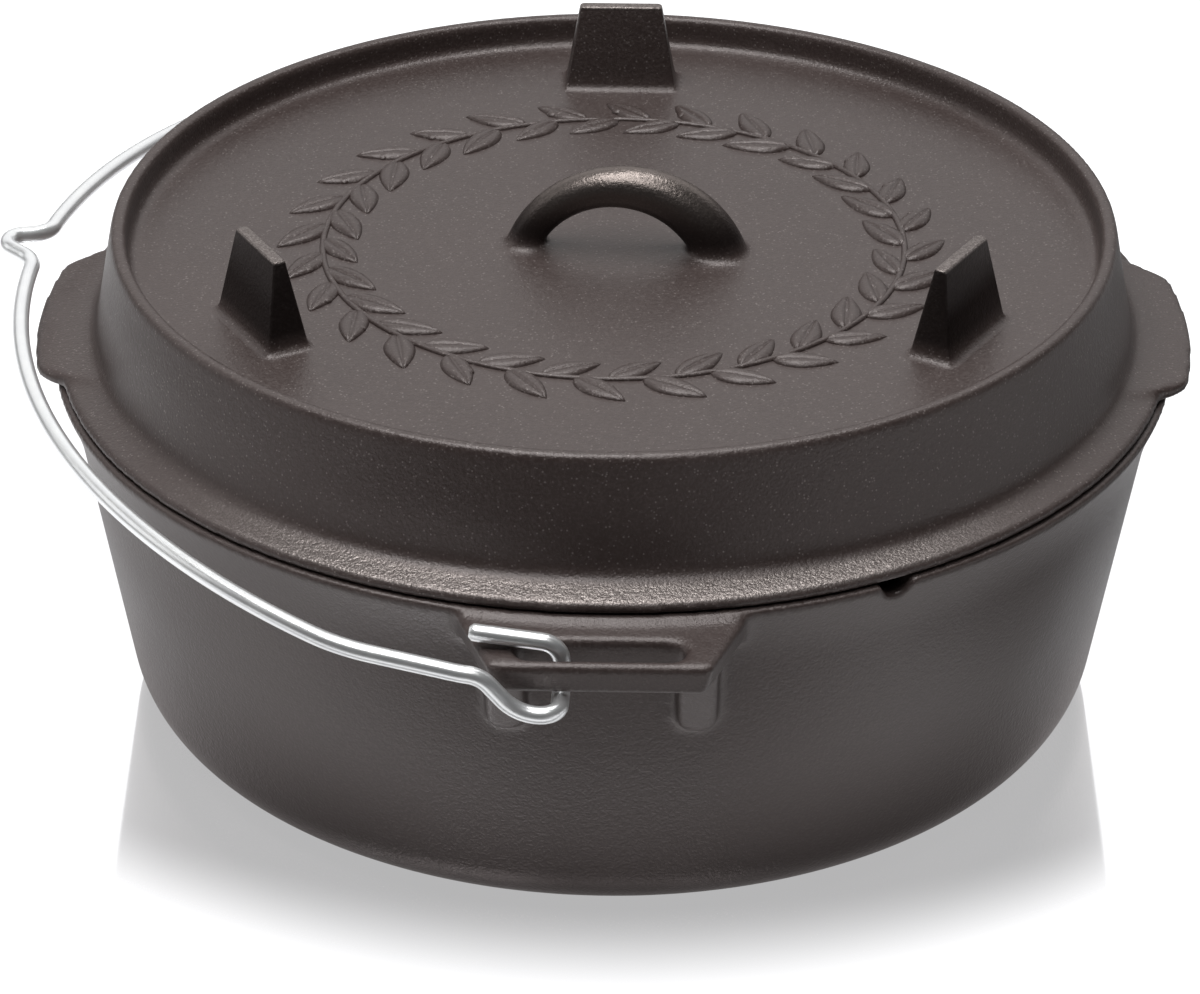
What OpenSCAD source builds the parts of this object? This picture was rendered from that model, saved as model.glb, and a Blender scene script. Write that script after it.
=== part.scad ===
// Camp oven in cast iron: a pot with two slotted bail ears, a flanged lid with two side grips, three
// feet and a loop handle, and a bent wire bail. Millimetres, +Z up, the pot stands on z = 0.
// The front ear points to -Y, the grips to -X and +X, and the bail lies to the -X side.

/* [Pot] */
// outer diameter of the rim
rim_d = 306; // [296:1:316]
// height of the rim above the ground
pot_h = 102.5; // [92:0.5:120]
// outer diameter of the base if its edge were sharp
base_d = 266; // [250:1:276]
// thickness of the side wall
wall_t = 4.2; // [4:0.1:5.5]
// thickness of the floor
floor_t = 4.6; // [4:0.1:7]
// outer radius of the rounded base edge
base_round = 18; // [12:0.5:24]
// how far the rim flares out beyond the straight wall
rim_flare = 3; // [2:0.1:4]
// height over which the rim flares
flare_h = 20; // [14:1:28]
// small bevel on cast edges
edge = 0.8; // [0.4:0.1:1]

/* [Bail ears] */
// how far an ear stands out beyond the rim
ear_reach = 19.8; // [18.5:0.1:24]
// width of an ear where it leaves the rim
ear_root_w = 69.5; // [66:0.5:78]
// width of an ear at its outer lip
ear_lip_w = 55; // [52:0.5:62]
// thickness of an ear
ear_t = 8.5; // [7:0.1:10]
// how far the tops of the ears lie below the rim
ear_drop = 1.5; // [1:0.1:2.5]
// length of the slot in an ear
slot_l = 42; // [41:0.5:45]
// width of the slot in an ear
slot_w = 9; // [8:0.1:10]
// width of the bar outside the slot
bar_w = 3.8; // [3.4:0.1:5]
// thickness of the two ribs under an ear
rib_t = 10; // [7:0.5:12]
// height of the ribs under an ear
rib_h = 27.5; // [18:0.5:32]

/* [Probe notch] */
// radius of the half round notch in the rim
notch_r = 4.3; // [3:0.1:5]
// direction of the notch, seen from above
notch_at = -61; // [-66:1:-55]

/* [Lid] */
// thickness of the flange that rests on the rim
flange_t = 3; // [2.6:0.1:4]
// how far the flange stays inside the edge of the rim
flange_back = 1.6; // [0:0.1:2.4]
// width of the flange outside the skirt
flange_w = 9.4; // [8.4:0.1:11]
// rise of the flange from its edge to the skirt
flange_rise = 2.2; // [0.8:0.1:2.8]
// height of the raised edge above the flange
lid_h = 33.5; // [28:0.5:38]
// how far the skirt leans in from flange to raised edge
skirt_in = 6; // [3:0.5:8]
// depth of the tray inside the raised edge
tray_h = 9; // [6:0.5:12]
// thickness of the lid's plate and skirt
lid_t = 4.2; // [4:0.1:5.5]
// depth of the lip that centres the lid in the pot
register_h = 4; // [3:0.1:6]

/* [Side grips] */
// how far a grip of the lid stands out beyond the rim
grip_reach = 4.7; // [3:0.1:4.8]
// width of a grip at its outer corners
grip_w = 66; // [56:1:74]
// thickness of a grip at its outer edge
grip_t = 3.1; // [2.6:0.1:3.6]

/* [Lid feet] */
// height of the feet above the plate
foot_h = 24.5; // [20:0.5:30]
// distance of the feet from the lid's centre, at their tops
foot_at = 105; // [96:1:110]
// width of a foot at its top
foot_top_w = 23.5; // [18:0.5:28]
// width of a foot at the plate
foot_base_w = 32; // [29:0.5:36]
// thickness of a foot at its top
foot_top_t = 3.4; // [3:0.1:5]
// thickness of a foot at the plate
foot_base_t = 12; // [9:0.5:14]

/* [Lid handle] */
// thickness of the handle at its slim end, on the -X side
grasp_slim = 9.5; // [8.5:0.5:11]
// thickness of the handle at its stout end, on the +X side
grasp_stout = 15; // [13:0.5:17]
// outer radius of the handle's arch
grasp_r = 35; // [31:0.5:40]
// how far the handle stays below the tops of the feet
grasp_below = 0.3; // [0.3:0.1:3]
// place of the handle beside the lid's centre
grasp_x = 3.5; // [0:0.5:6]
// turn of the handle, seen from above
grasp_turn = -4; // [-10:1:10]

/* [Bail] */
// diameter of the wire
wire_d = 4.5; // [4:0.1:5]
// rise of the bail at rest, above the horizontal
bail_tilt = 6.8; // [6:0.2:11]
// turn of the bail, its hooks lying askew in the slots
bail_turn = 2.1; // [0:0.1:2.2]
// place of the hinge line beside the pot's middle
hinge_x = -3.4; // [-6:0.2:-3]
// length of the straight arm beside each hook
arm_l = 21; // [15:0.5:26]
// bend where arm and bow meet, in degrees
arm_bend = 21.3; // [18:0.1:25]
// place of the hanging notch along the bow, in degrees from its middle to the back
notch_shift = 4.3; // [0:0.1:6]
// length of the cut end that lies over the ear
tail_l = 18; // [12:0.5:21]

/* [Fits] */
// gap beside the lid's centring lip
register_gap = 0.8; // [0.4:0.1:1.4]
// gap between the wire and the underside of an ear
hook_gap = 0.6; // [0.5:0.1:1.2]
// gap between the wire's cut end and the top of an ear
tail_gap = 0.4; // [0.3:0.1:1]

/* [Hidden] */
$fn = 96;
// sides of the wire and of its bends, where they are shown as facets
wire_n = 24;
// pieces of one rounded corner
corner_n = 8;
rim_r = rim_d / 2;
base_r = base_d / 2;
wall_top_r = rim_r - rim_flare;
draft = atan((wall_top_r - base_r) / pot_h);
inner_round = base_round - wall_t;
// length by which a cut runs past the face it opens
over = 1;
// depth by which ears reach into the wall
root = 16;
ear_top = pot_h - ear_drop;
ear_low = ear_top - ear_t;
lip_y = rim_r + ear_reach;
slot_y = lip_y - bar_w - slot_w / 2;
ear_slope = (ear_root_w - ear_lip_w) / 2 / ear_reach;
lip_bevel = 1.5;
rib_x = slot_l / 2 - 2;
rib_y = slot_y - slot_w / 2;
rib_foot = 3;
grip_r = rim_r + grip_reach;
grip_slope = 0.65;
// height of a grip's underside above the rim, and of its top above the flange at the skirt
grip_lift = 0.4;
grip_proud = 0.3;
flange_r = rim_r - flange_back;
flange_top = pot_h + flange_t;
flange_lean = atan(flange_rise / flange_w);
skirt_r = flange_r - flange_w;
lid_top = flange_top + lid_h;
plate_z = lid_top - tray_h;
ceiling_z = plate_z - lid_t;
skirt_lean = atan(skirt_in / lid_h);
skirt_fillet = 4;
edge_in = skirt_r - skirt_in - lid_t;
tray_fillet = 4;
edge_round = 1.5;
roof_fillet = 5;
register_r = wall_r(pot_h - register_h) - wall_t / cos(draft) - register_gap;
grasp_y = -3;
grasp_z = plate_z + foot_h - grasp_below - grasp_r;
// straight pieces of the arch, their sides where they are shown as facets, and how fast it thins
grasp_n = 20;
grasp_sides = 32;
grasp_thin = 1.3;
wire_r = wire_d / 2;
hinge_z = ear_low - hook_gap - wire_r;
// ball over each joint of the wire's pieces, and the gap it closes
ball = 0.05;
joint = 0.2;
// bends of the wire along its middle line
hook_r = 4.5;
tail_r = 5.5;
dip_r = 12;
crest_r = 8;
elbow_r = 20;
arm_r = 45;
shoulder_r = 8;
tip_r = 5.5;
dip_a = 50;
dip_l = 5;
elbow_a = 9;
bow_a = elbow_a + arm_bend;
tip_a = 32;
tip_l = 4;
out_l = lip_y + hook_r;
cross_l = out_l - slot_y - 2 * hook_r;
tail_rise = ear_top + tail_gap + wire_r / cos(bail_tilt)
    - (slot_l / 2 + hinge_x - slot_y * sin(bail_turn) - tail_r * (1 - sin(bail_tilt))) * tan(bail_tilt)
    - tail_r * cos(bail_tilt) - hinge_z - hook_r;
// radius of the bow, the same circle on both sides of the notch
bow_r = (out_l
    - elbow_r * (1 - cos(elbow_a))
    - arm_l * sin(elbow_a)
    - arm_r * (cos(elbow_a) - cos(bow_a))) / cos(bow_a);
shoulder_a = acos(((shoulder_r + tip_r) * cos(tip_a) + tip_l * sin(tip_a)) / (bow_r + shoulder_r));

function wall_r(z) = base_r + (wall_top_r - base_r) * z / pot_h;
function inner_r(z) = wall_r(z) - wall_t / cos(draft);
function skirt_at(z) = skirt_r - skirt_in * (z - flange_top) / lid_h;
function flange_z(r) = flange_top + (flange_r - edge - r) * tan(flange_lean);
// radius of the handle at an angle along its arch, and that place on its middle line
function grasp_at(a) = (grasp_slim + (grasp_stout - grasp_slim) * pow((1 + cos(a)) / 2, grasp_thin)) / 2;
function grasp_line(a) = [(grasp_r - grasp_at(a)) * cos(a), 0, grasp_z + (grasp_r - grasp_at(a)) * sin(a)];
function arc(cx, cy, r, a0, a1, n) =
    [for (i = [0:n]) [cx + r * cos(a0 + (a1 - a0) * i / n), cy + r * sin(a0 + (a1 - a0) * i / n)]];
// middle of a rounding between a level line and one that leans by a degrees from upright
function round_x(r, size, a) = r - size * (1 - sin(a)) / cos(a);

// Outside of the pot as one turned body
module pot_body() {
    rotate_extrude()
        polygon(concat(
            [[0, 0]],
            arc(round_x(base_r, base_round, draft), base_round, base_round, -90, -draft, corner_n),
            [for (i = [0:corner_n])
                let (t = i / corner_n, z = pot_h - edge - (flare_h - edge) * (1 - t))
                [wall_r(z) + rim_flare * t * t, z]],
            [[rim_r - edge, pot_h], [0, pot_h]]));
}

// Room inside the pot
module pot_room() {
    rotate_extrude()
        polygon(concat(
            [[0, floor_t]],
            arc(round_x(inner_r(floor_t), inner_round, draft), floor_t + inner_round, inner_round,
                -90, -draft, corner_n),
            [[inner_r(pot_h - edge), pot_h - edge], [inner_r(pot_h) + edge, pot_h],
             [inner_r(pot_h) + edge, pot_h + over], [0, pot_h + over]]));
}

// One ear with its two ribs, pointing to -Y
module ear() {
    inside = ear_root_w / 2 + ear_slope * root;
    translate([0, 0, ear_low])
        linear_extrude(ear_t)
            polygon([
                [-inside, root - rim_r],
                [-ear_lip_w / 2 - ear_slope * lip_bevel, lip_bevel - lip_y],
                [-ear_lip_w / 2 + lip_bevel, -lip_y],
                [ear_lip_w / 2 - lip_bevel, -lip_y],
                [ear_lip_w / 2 + ear_slope * lip_bevel, lip_bevel - lip_y],
                [inside, root - rim_r]]);
    for (side = [-1, 1])
        translate([side * (rib_x + rib_t / 2), 0, ear_low])
            rotate([90, 0, -90])
                translate([0, 0, -rib_t / 2])
                    linear_extrude(rib_t)
                        polygon([
                            [rim_r - root - rib_foot, over],
                            [rib_y, over],
                            [rib_y, -rib_foot],
                            [wall_r(ear_low - rib_h) + rib_foot, rib_foot - rib_h],
                            [wall_r(ear_low - rib_h) + rib_foot / 2, -rib_h],
                            [rim_r - root - rib_foot, -rib_h]]);
}

// Slot of an ear
module ear_slot() {
    straight = (slot_l - slot_w) / 2;
    translate([0, -slot_y, ear_low - over])
        linear_extrude(ear_t + 2 * over)
            polygon(concat(
                arc(straight, 0, slot_w / 2, -90, 90, corner_n),
                arc(-straight, 0, slot_w / 2, 90, 270, corner_n)));
}

// Pot with ears and the notch for a probe cable: one casting
module pot() {
    color("#4a4442")
        difference() {
            union() {
                pot_body();
                for (turn = [0, 180])
                    rotate([0, 0, turn])
                        ear();
            }
            pot_room();
            for (turn = [0, 180])
                rotate([0, 0, turn])
                    ear_slot();
            rotate([0, 0, notch_at])
                translate([rim_r - root, 0, pot_h])
                    rotate([0, 90, 0])
                        cylinder(h = 2 * root, r = notch_r);
        }
}

// Turned shell of the lid: plate, raised edge, skirt, flange and centring lip
module lid_shell() {
    out = [cos(skirt_lean), sin(skirt_lean)];
    up = [sin(flange_lean), cos(flange_lean)];
    off_skirt = out * [skirt_r, flange_top] + skirt_fillet;
    off_flange = up * [flange_r - edge, flange_top] + skirt_fillet;
    fillet_x = (off_skirt * up.y - off_flange * out.y) / cos(skirt_lean + flange_lean);
    fillet_z = (off_flange * out.x - off_skirt * up.x) / cos(skirt_lean + flange_lean);
    under = lid_t / cos(skirt_lean);
    rotate_extrude()
        polygon(concat(
            [[0, plate_z]],
            arc(edge_in - tray_fillet, plate_z + tray_fillet, tray_fillet, -90, 0, corner_n),
            arc(edge_in + edge_round, lid_top - edge_round, edge_round, 180, 90, corner_n / 2),
            arc(skirt_at(lid_top) - edge_round, lid_top - edge_round, edge_round, 90, skirt_lean, corner_n / 2),
            arc(fillet_x, fillet_z, skirt_fillet, 180 + skirt_lean, 270 - flange_lean, corner_n),
            [[flange_r - edge, flange_top], [flange_r, flange_top - edge],
             [flange_r, pot_h + edge], [flange_r - edge, pot_h],
             [register_r, pot_h], [register_r, pot_h - register_h + edge],
             [register_r - edge, pot_h - register_h],
             [skirt_at(pot_h - register_h) - under, pot_h - register_h]],
            arc(round_x(skirt_at(ceiling_z) - under, roof_fillet, skirt_lean), ceiling_z - roof_fillet, roof_fillet,
                skirt_lean, 90, corner_n),
            [[0, ceiling_z]]));
}

// One side grip, pointing to +X: a piece of a ring that lies on the flange and slopes less than it
module grip() {
    inner = skirt_r - lid_t / 2;
    low = pot_h + grip_lift;
    top = low + grip_t;
    inside = grip_w / 2 + grip_slope * (grip_r - inner + root);
    outside = grip_w / 2 - grip_slope * over;
    intersection() {
        rotate_extrude()
            polygon([
                [inner, low], [grip_r - edge, low], [grip_r, low + edge],
                [grip_r, top - edge], [grip_r - edge, top],
                [inner, flange_z(inner) + grip_proud]]);
        translate([0, 0, low - over])
            linear_extrude(lid_h)
                polygon([
                    [inner - root, -inside], [grip_r + over, -outside],
                    [grip_r + over, outside], [inner - root, inside]]);
    }
}

// One foot, standing on the plate in the +X direction: wedge shaped both ways
module foot() {
    sunk = lid_t / 2;
    base_x = foot_at - foot_base_t / 2;
    top_x = foot_at - foot_top_t / 2;
    intersection() {
        rotate([90, 0, 0])
            linear_extrude(2 * foot_base_w, center = true)
                polygon([
                    [base_x, plate_z - sunk], [base_x + foot_base_t, plate_z - sunk],
                    [base_x + foot_base_t, plate_z],
                    [top_x + foot_top_t, plate_z + foot_h],
                    [top_x, plate_z + foot_h], [base_x, plate_z]]);
        rotate([90, 0, 90])
            linear_extrude(2 * foot_at)
                polygon([
                    [-foot_base_w / 2, plate_z - 2 * sunk], [foot_base_w / 2, plate_z - 2 * sunk],
                    [foot_base_w / 2, plate_z],
                    [foot_top_w / 2, plate_z + foot_h + over],
                    [-foot_top_w / 2, plate_z + foot_h + over], [-foot_base_w / 2, plate_z]]);
    }
}

// One tapered piece of the handle's arch between two angles, with a ball at its start
module grasp_piece(a0, a1) {
    from = grasp_line(a0);
    way = grasp_line(a1) - from;
    translate(from) {
        sphere(r = grasp_at(a0) + ball, $fn = grasp_sides);
        rotate([0, atan2(way.x, way.z), 0])
            cylinder(h = norm(way), r1 = grasp_at(a0), r2 = grasp_at(a1), $fn = grasp_sides);
    }
}

// Arched handle, sunk into the middle of the plate
module grasp() {
    reach = grasp_r + grasp_stout;
    step = 180 / grasp_n;
    translate([grasp_x, grasp_y, 0])
        rotate([0, 0, grasp_turn])
            intersection() {
                for (i = [0:grasp_n - 1])
                    grasp_piece(i * step, (i + 1) * step);
                translate([-reach, -reach, plate_z - lid_t / 2])
                    cube([2 * reach, 2 * reach, 2 * reach]);
            }
}

// Lid with grips, feet and handle: one casting
module lid() {
    color("#514a48")
        difference() {
            union() {
                lid_shell();
                for (turn = [0, 180])
                    rotate([0, 0, turn])
                        grip();
                for (turn = [90, 210, 330])
                    rotate([0, 0, turn])
                        foot();
                grasp();
            }
            rotate([0, 0, notch_at])
                translate([register_r - root, -notch_r, pot_h - register_h - over])
                    cube([2 * root, 2 * notch_r, register_h + over]);
        }
}

// A run of wire: each step is [straight length, bend radius, bend angle, turn of the bend's plane].
// A ball closes the small gap between one piece of the run and the next.
module wire(steps, i = 0) {
    if (i < len(steps)) {
        feed = steps[i][0];
        r = steps[i][1];
        a = steps[i][2];
        rotate([0, 0, steps[i][3]]) {
            if (feed > 0) {
                sphere(r = wire_r + ball, $fn = wire_n);
                translate([0, 0, joint])
                    cylinder(h = feed - joint, r = wire_r, $fn = wire_n);
            }
            translate([0, 0, feed]) {
                if (a > 0) {
                    sphere(r = wire_r + ball, $fn = wire_n);
                    translate([r, 0, 0])
                        rotate([90, 0, 0])
                            rotate([0, 0, 180 - a])
                                rotate_extrude(angle = a - joint / r * 180 / PI, $fn = 2 * wire_n)
                                    translate([r, 0])
                                        circle(r = wire_r, $fn = wire_n);
                }
                translate([r * (1 - cos(a)), 0, r * sin(a)])
                    rotate([0, a, 0])
                        wire(steps, i + 1);
            }
        }
    }
}

// Bail: one bent wire, from the cut end over the front ear round to the one over the back ear
module bail() {
    color("#b9bbbd")
        translate([hinge_x, 0, 0])
            rotate([0, 0, -bail_turn])
                translate([0, -slot_y - hook_r, hinge_z]) {
                    rotate([90, 0, 0])
                        wire([
                            [cross_l, hook_r, 90, 180],
                            [0, dip_r, dip_a, -90],
                            [dip_l, crest_r, dip_a - bail_tilt, 180],
                            [0, elbow_r, elbow_a, -90],
                            [arm_l, arm_r, arm_bend, 0],
                            [0, bow_r, shoulder_a - bow_a + notch_shift, 0],
                            [0, shoulder_r, shoulder_a - tip_a, 180],
                            [tip_l, tip_r, 2 * (90 - tip_a), 180],
                            [tip_l, shoulder_r, shoulder_a - tip_a, 180],
                            [0, bow_r, shoulder_a - bow_a - notch_shift, 180],
                            [0, arm_r, arm_bend, 0],
                            [arm_l, elbow_r, elbow_a, 0],
                            [0, crest_r, dip_a - bail_tilt, 90],
                            [dip_l, dip_r, dip_a, 180],
                            [0, hook_r, 90, 90],
                            [cross_l, hook_r, 90, -90],
                            [tail_rise, tail_r, 90 - bail_tilt, 90],
                            [tail_l, 0, 0, 0]]);
                    rotate([-90, 0, 0])
                        translate([0, 0, joint])
                            wire([
                                [0, hook_r, 90, -90],
                                [tail_rise, tail_r, 90 - bail_tilt, -90],
                                [tail_l, 0, 0, 0]]);
                }
}

pot();
lid();
bail();
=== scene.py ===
# %% [markdown]
# A camp oven in seasoned cast iron: a pot, a lid that carries coals, and a wire bail.
# The packed solids are loaded first and never change. Each of the three pieces is then made once
# more around them, with the soft edges, fillets and grain of a sand casting, and stands for its solid.
# The solids could be shown as they are, but iron with knife-sharp corners doesn't look cast.

# %% Load the frame
import math

import bmesh
import bpy
import numpy as np
from mathutils import Matrix, Quaternion, Vector


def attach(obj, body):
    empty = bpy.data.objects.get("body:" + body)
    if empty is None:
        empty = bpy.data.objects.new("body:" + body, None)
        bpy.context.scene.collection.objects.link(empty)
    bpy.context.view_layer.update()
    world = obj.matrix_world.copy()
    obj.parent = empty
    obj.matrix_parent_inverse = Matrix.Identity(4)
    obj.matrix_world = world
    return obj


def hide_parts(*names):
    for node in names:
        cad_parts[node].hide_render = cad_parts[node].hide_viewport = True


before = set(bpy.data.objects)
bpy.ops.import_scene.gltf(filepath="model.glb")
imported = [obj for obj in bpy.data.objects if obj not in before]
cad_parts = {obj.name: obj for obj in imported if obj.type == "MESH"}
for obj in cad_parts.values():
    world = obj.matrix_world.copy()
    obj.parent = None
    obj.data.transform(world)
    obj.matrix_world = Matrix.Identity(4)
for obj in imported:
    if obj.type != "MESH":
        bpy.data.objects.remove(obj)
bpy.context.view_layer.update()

# %% [markdown]
# The camera stands where the photograph was taken from: in front, 30 degrees above the table and
# about 1.3 m away, with a long lens, so the rims look like even ellipses and the walls hardly
# converge. It could be turned by eye until the outlines meet. A fit to the rims gave place, aim and
# lens together, and they are written down here as numbers.

# %% Camera
PICTURE_W, SENSOR = 1200, 36.0
FOCAL_PX = 4640.26
EYE = Vector((0.01919, -1.13141, 0.69252))
AIM = Vector((-0.0035, -0.0001, 0.0505))
ROLL = math.radians(0.2)


def put_in(name, data):
    """A new object in the scene."""
    obj = bpy.data.objects.new(name, data)
    bpy.context.scene.collection.objects.link(obj)
    return obj


camera_data = bpy.data.cameras.new("camera")
camera_data.sensor_fit = "HORIZONTAL"
camera_data.sensor_width = SENSOR
camera_data.lens = FOCAL_PX / PICTURE_W * SENSOR
camera = put_in("camera", camera_data)
camera.location = EYE
camera.rotation_mode = "QUATERNION"
camera.rotation_quaternion = (AIM - EYE).to_track_quat("-Z", "Y") @ Quaternion((0, 0, 1), ROLL)
bpy.context.scene.camera = camera
print("lens %.1f mm, %.3f m from its aim" % (camera_data.lens, (AIM - EYE).length))

# %% [markdown]
# The main sizes, in metres, as in the solids. The pot's wall leans outwards by nine degrees, which lets
# the pattern leave the sand easily, and flares a little at the rim. The lid lies on that rim, so its
# heights are counted up from the pot's. Other sizes follow where they are first needed.

# %% Main sizes
RIM_R, POT_H, BASE_R = 0.153, 0.1025, 0.133
WALL, FLOOR, BASE_ROUND, EDGE = 0.0042, 0.0046, 0.018, 0.0008
FLARE, FLARE_H = 0.003, 0.020
WALL_TOP_R = RIM_R - FLARE
DRAFT = math.atan((WALL_TOP_R - BASE_R) / POT_H)

FLANGE_R, FLANGE_T, FLANGE_W, FLANGE_RISE = 0.1514, 0.003, 0.0094, 0.0022
LID_H, LID_T, SKIRT_IN, TRAY_H = 0.0335, 0.0042, 0.006, 0.009
FLANGE_TOP = POT_H + FLANGE_T
SKIRT_R, LID_TOP = FLANGE_R - FLANGE_W, FLANGE_TOP + LID_H
PLATE_Z = LID_TOP - TRAY_H
FOOT_H = 0.0245
print("pot %.0f mm high, draft %.1f degrees" % (1000 * POT_H, math.degrees(DRAFT)))
print("lid to %.0f mm, its feet to %.0f mm" % (1000 * LID_TOP, 1000 * (PLATE_Z + FOOT_H)))

# %% [markdown]
# Finishes and many of the shapes are worked out in trees of nodes. Each tree could be drawn in Blender's
# node editor. In a script one helper makes any node: its settings come first, because they decide
# which sockets it has, and then the values or links of those sockets.

# %% One node


def add(tree, kind, settings=None, **sockets):
    """One node: its settings, then its sockets' values or links, by name or as i0, i1 by number."""
    node = tree.nodes.new(kind)
    for key, value in (settings or {}).items():
        setattr(node, key, value)
    for key, value in sockets.items():
        by_number = key[0] == "i" and key[1:].isdigit()
        socket = node.inputs[int(key[1:]) if by_number else key]
        if isinstance(value, bpy.types.NodeSocket):
            tree.links.new(value, socket)
        else:
            socket.default_value = value
    return node.outputs


print("node helper:", add.__doc__)

# %% [markdown]
# The maths of a finish could be wired node by node as well. Here a small class wraps a socket, so that
# it reads like plain Python: an expression on two values adds a Math node, and 1 - mask works as well as
# mask * 2.

# %% Shader maths


class Shade:
    """A socket of a shader tree that can be used in sums."""

    def __init__(self, tree, socket):
        self.tree, self.socket = tree, socket

    def make(self, kind, settings=None, out=0, **sockets):
        plain = {key: getattr(value, "socket", value) for key, value in sockets.items()}
        return Shade(self.tree, add(self.tree, kind, settings, **plain)[out])

    def math(self, operation, a, b=0.0):
        return self.make("ShaderNodeMath", {"operation": operation}, i0=a, i1=b)

    def __add__(self, other):
        return self.math("ADD", self, other)

    def __sub__(self, other):
        return self.math("SUBTRACT", self, other)

    def __rsub__(self, other):
        return self.math("SUBTRACT", other, self)

    def __mul__(self, other):
        return self.math("MULTIPLY", self, other)

    __radd__, __rmul__ = __add__, __mul__

    def between(self, low, high):
        """0 below low and 1 above high, with a smooth step."""
        smooth = {"interpolation_type": "SMOOTHSTEP"}
        return self.make("ShaderNodeMapRange", smooth, i0=self, i1=low, i2=high)

    def tint(self, a, b):
        """Colour a where this is 0 and b where it is 1."""
        return self.make("ShaderNodeMix", {"data_type": "RGBA"}, out=2, i0=self, i6=a, i7=b)

    def noise(self, scale, detail=2.0, rough=0.5):
        return self.make("ShaderNodeTexNoise", Vector=self, Scale=scale, Detail=detail, Roughness=rough)

    def axis(self, k):
        """One coordinate of a place: 0 for X, 1 for Y and 2 for Z."""
        return self.make("ShaderNodeSeparateXYZ", out=k, i0=self)

    def from_middle(self):
        """A place's distance from the Z axis, which runs up the middle of the oven."""
        flat = self.make("ShaderNodeVectorMath", {"operation": "MULTIPLY"}, i0=self, i1=(1.0, 1.0, 0.0))
        return self.make("ShaderNodeVectorMath", {"operation": "LENGTH"}, out=1, i0=flat)


print("shader sums:", ", ".join(name for name in vars(Shade) if name[0] != "_"))

# %% [markdown]
# Every finish starts the same way: a new material with Blender's Principled shader, and the piece's own
# Object coordinates, so that a pattern stays in its place when the piece moves. What varies over the
# surface is linked to the shader, and what is the same all over is set on the shader's own socket.

# %% A new finish


def new_finish(name):
    """A material, its shader node and the wrapped Object coordinates."""
    mat = bpy.data.materials.new(name)
    mat.use_nodes = True
    tree = mat.node_tree
    shader = next(n for n in tree.nodes if n.bl_idname == "ShaderNodeBsdfPrincipled")
    return mat, shader, Shade(tree, tree.nodes.new("ShaderNodeTexCoord").outputs["Object"])


def feed(shader, **values):
    """Links or sets sockets of a shader, with _ for a space in a name."""
    for key, value in values.items():
        socket = shader.inputs[key.replace("_", " ")]
        if isinstance(value, Shade):
            value.tree.links.new(value.socket, socket)
        else:
            socket.default_value = value


print("materials before the first finish:", len(bpy.data.materials))

# %% [markdown]
# Seasoned iron is nearly black with a warm cast, and semi-gloss from the oil baked onto it. The sand of
# the mould leaves a grain just under a millimetre wide. Single grains are painted bright in the colour,
# as painted glints that look the same under any light. Low on the pot the colour is painted darker and
# duller towards the table, as painted shade. A texture image could show all this, but noise in Object
# coordinates needs no unwrapping, has no seams and stays sharp from close by. The scales below count
# grains along a metre, so a larger one is finer.

# %% Seasoned iron
SAND, PITS, PATINA, PAINTED_GLINT_SCALE, PAINTED_WEAR_GLINT_SCALE = 1250.0, 520.0, 16.0, 1400.0, 2100.0
IRON_DEEP, IRON_PALE = (0.036, 0.0248, 0.0225, 1), (0.043, 0.0305, 0.0280, 1)
SAND_TIP, PAINTED_GLINT_TINT = (0.072, 0.056, 0.052, 1), (0.24, 0.21, 0.20, 1)
POT_LOW_SHADE_TINT, LOW_SHADE_UP_TO = (0.010, 0.007, 0.0065, 1), 0.055
WORN_AND_HIGHLIT_TINT, POLISHED, LID_SHADE_TINT = (0.30, 0.27, 0.255, 1), (0.175, 0.152, 0.140, 1), (0.010, 0.0072, 0.0068, 1)
WARM_SHEEN, SHEEN = (1.0, 0.93, 0.915, 1), 0.62


def painted_glints(place, glint_share):
    """Painted highlights on single grains: a bright dot in the middle of some cells of a Voronoi pattern.
    """
    nearest = {"feature": "F1"}
    off_middle = place.make("ShaderNodeTexVoronoi", nearest, Vector=place, Scale=PAINTED_GLINT_SCALE)
    middle = place.make("ShaderNodeTexVoronoi", nearest, out=2, Vector=place, Scale=PAINTED_GLINT_SCALE)
    chance = place.make("ShaderNodeTexWhiteNoise", {"noise_dimensions": "3D"}, Vector=middle)
    return (1.0 - off_middle.between(0.15, 0.5)) * chance.between(0.78, 0.98) * glint_share


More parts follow.
